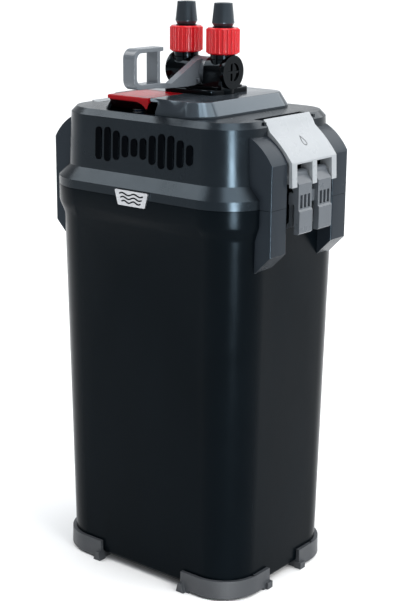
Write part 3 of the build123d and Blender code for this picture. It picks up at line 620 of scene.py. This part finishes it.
def ring_mesh(outer, inner, half, n=14):
    """A short ceramic tube on the X axis with chamfered rims."""
    c = 0.6
    profile = [(-half + c, outer), (half - c, outer), (half, outer - c), (half, inner + c),
               (half - c, inner), (-half + c, inner), (-half, inner + c), (-half, outer - c)]
    verts, faces = [], []
    for x, r in profile:
        verts += [Vector((x, r * math.cos(2 * math.pi * k / n), r * math.sin(2 * math.pi * k / n)))
                  for k in range(n)]
    rings = len(profile)
    for a in range(rings):
        b = (a + 1) % rings
        for i in range(n):
            j = (i + 1) % n
            faces.append((a * n + i, a * n + j, b * n + j, b * n + i))
    return verts, faces


def make_rings(materials):
    """Loose ceramic tubes in layers, each turned and nudged a little."""
    low, high = box_mm("ceramic_media")
    centre = Vector(((low[0] + high[0]) / 2, (low[1] + high[1]) / 2, 0))
    half_w, half_d, corner = (high[0] - low[0]) / 2 - 6.8, (high[1] - low[1]) / 2 - 6.8, 15.6
    rng = random.Random(5)
    verts, faces = ring_mesh(4.7, 2.6, 4.6)
    parts = []
    layers, columns, rows = 4, 12, 7
    for layer in range(layers):
        for column in range(columns):
            for row in range(rows):
                x = -half_w + 2 * half_w * column / (columns - 1)
                y = -half_d + 2 * half_d * row / (rows - 1)
                over = Vector((max(abs(x) - half_w + corner, 0), max(abs(y) - half_d + corner, 0)))
                if over.length > corner:
                    continue
                z = low[2] + 5.6 + (high[2] - low[2] - 11.2) * layer / (layers - 1)
                x += rng.uniform(-0.5, 0.5)
                y += rng.uniform(-0.5, 0.5)
                turn = (Matrix.Rotation(rng.uniform(0, math.pi), 4, "Z")
                        @ Matrix.Rotation(rng.uniform(-0.35, 0.35), 4, "Y"))
                place = Matrix.Translation(centre + Vector((x, y, z))) @ turn
                parts.append(([place @ v * MM for v in verts], faces))
    obj = piece("ceramic_rings", *joined(parts), "basket_stack", "ceramic_cream",
                materials["ceramic_cream"], smooth=False)
    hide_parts("ceramic_media")


def plate_point(v):
    """A point (x, z) on the right-hand clamp plate's curved face, its outward direction, the face's length.

    v runs from the plate's crease (0) to its shoulder (1). The face is an arc through a, m and b.
    """
    a, m, b = Vector((97.5, 392.5)), Vector((110.2, 381.2)), Vector((119.2, 370.3))
    aa, mm, bb = a.length_squared, m.length_squared, b.length_squared
    d = 2 * (a.x * (m.y - b.y) + m.x * (b.y - a.y) + b.x * (a.y - m.y))
    centre = Vector(((aa * (m.y - b.y) + mm * (b.y - a.y) + bb * (a.y - m.y)) / d,
                     (aa * (b.x - m.x) + mm * (a.x - b.x) + bb * (m.x - a.x)) / d))
    r = (a - centre).length
    start = math.atan2(a.y - centre.y, a.x - centre.x)
    stop = math.atan2(b.y - centre.y, b.x - centre.x)
    turn = start + (stop - start) * v
    out = Vector((math.cos(turn), math.sin(turn)))
    return centre + out * r, out, abs(stop - start) * r


def make_clamp_marks(materials):
    """A droplet outline on each clamp plate: a thin dark bead half sunk in the curved face."""
    length = plate_point(0)[2]
    half_wide, half_tall, middle = 3.3, 4.6, 0.42
    bead_tall, bead_wide, lift = 0.26, 0.42, 0.02
    for side, name in ((1, "right"), (-1, "left")):
        line = []
        steps = 56
        for k in range(steps):
            t = 2 * math.pi * k / steps
            across = half_wide * math.sin(t) * math.sin(t / 2) ** 1.4
            along = half_tall * math.cos(t)
            v = middle - along / length
            spot, out, _ = plate_point(v)
            line.append((Vector((spot.x * side, across, spot.y)), Vector((out.x * side, 0, out.y))))
        verts, faces = [], []
        ring = 8
        for k, (spot, out) in enumerate(line):
            ahead = line[(k + 1) % steps][0] - line[k - 1][0]
            across = ahead.normalized().cross(out)
            for i in range(ring):
                a = 2 * math.pi * i / ring
                rise = out * (bead_tall * math.sin(a) + lift)
                verts.append((spot + rise + across * bead_wide * math.cos(a)) * MM)
        for k in range(steps):
            for i in range(ring):
                j, m = (i + 1) % ring, (k + 1) % steps
                faces.append((k * ring + i, k * ring + j, m * ring + j, m * ring + i))
        piece(f"clamp_mark_{name}", verts, faces, f"clamp_{name}", "pump_grey", materials["pump_grey"])


# ---- floor and light -------------------------------------------------------------------------
def make_stage():
    m, tree, shader, where = graph("floor_white")
    patches = ranged(tree, noise_node(tree, where, 0.6), 0, 1)
    tone = mixed(tree, patches, (0.93, 0.93, 0.93), (0.96, 0.96, 0.96))
    tree.links.new(tone, shader.inputs["Base Color"])
    shader.inputs["Roughness"].default_value = 0.7
    shader.inputs["Specular IOR Level"].default_value = 0.2
    half = 20.0
    corners = [(-half, -half, 0), (half, -half, 0), (half, half, 0), (-half, half, 0)]
    data = bpy.data.meshes.new("floor")
    data.from_pydata(corners, [], [(0, 1, 2, 3)])
    data.materials.append(m)
    floor = bpy.data.objects.new("floor", data)
    floor.location.z = -0.0002
    bpy.context.scene.collection.objects.link(floor)


def area_light(name, place, aim, size, radiance, color=(1, 1, 1), highlight_only=False):
    """A rectangular soft light; one that is highlight_only is mirrored but doesn't light matt surfaces."""
    data = bpy.data.lights.new(name, "AREA")
    data.shape = "RECTANGLE"
    data.size, data.size_y = size
    data.energy = radiance * math.pi * size[0] * size[1]
    data.color = color
    light = bpy.data.objects.new(name, data)
    light.location = place
    light.visible_diffuse = not highlight_only
    light.rotation_euler = (Vector(aim) - Vector(place)).to_track_quat("-Z", "Y").to_euler()
    bpy.context.scene.collection.objects.link(light)


def make_world():
    """Soft studio surround: bright overhead, behind and to the right, dim towards the front left."""
    world = bpy.data.worlds.new("studio")
    world.use_nodes = True
    tree = world.node_tree
    back = tree.nodes["Background"]
    back.inputs["Color"].default_value = (0.93, 0.965, 1.0, 1)
    coord = tree.nodes.new("ShaderNodeTexCoord")
    facing = tree.nodes.new("ShaderNodeVectorMath")
    facing.operation = "DOT_PRODUCT"
    facing.inputs[1].default_value = Vector((0.35, 0.72, 0.6)).normalized()
    tree.links.new(coord.outputs["Generated"], facing.inputs[0])
    level = tree.nodes.new("ShaderNodeMapRange")
    level.interpolation_type = "SMOOTHSTEP"
    level.inputs["From Min"].default_value = -0.45
    level.inputs["From Max"].default_value = 0.45
    level.inputs["To Min"].default_value = 0.3
    level.inputs["To Max"].default_value = 1.0
    tree.links.new(facing.outputs["Value"], level.inputs["Value"])
    tree.links.new(level.outputs["Result"], back.inputs["Strength"])
    bpy.context.scene.world = world


def make_light():
    scene = bpy.context.scene
    scene.view_settings.view_transform = "Standard"
    make_world()
    sun = bpy.data.lights.new("sun", "SUN")
    sun.energy = 2.1
    sun.angle = math.radians(45)
    sun.color = (1.0, 0.99, 0.975)
    lamp = bpy.data.objects.new("sun", sun)
    lamp.rotation_euler = Vector((-0.7, -0.12, -0.7)).to_track_quat("-Z", "Y").to_euler()
    scene.collection.objects.link(lamp)
    area_light("left_box", (-0.95, -0.55, 1.55), (0, 0, 0.35), (0.9, 0.8), 6.0)
    area_light("rear_box", (0.5, 1.25, 1.3), (0, 0, 0.35), (1.1, 0.8), 3.2)
    area_light("corner_strip", (0.50, -0.40, 0.17), (0, 0, 0.24), (0.12, 0.42), 65.0,
               (0.9, 0.96, 1.0), True)
    area_light("top_box", (0.55, -0.3, 2.0), (0, 0, 0.4), (0.9, 0.9), 9.0, (0.94, 0.97, 1.0), True)


make_camera()
materials = make_materials()
finish_cad(materials)
make_spring(materials)
make_inlay(materials)
make_badge_waves(materials)
make_media(materials)
make_rings(materials)
make_clamp_marks(materials)
make_stage()
make_light()
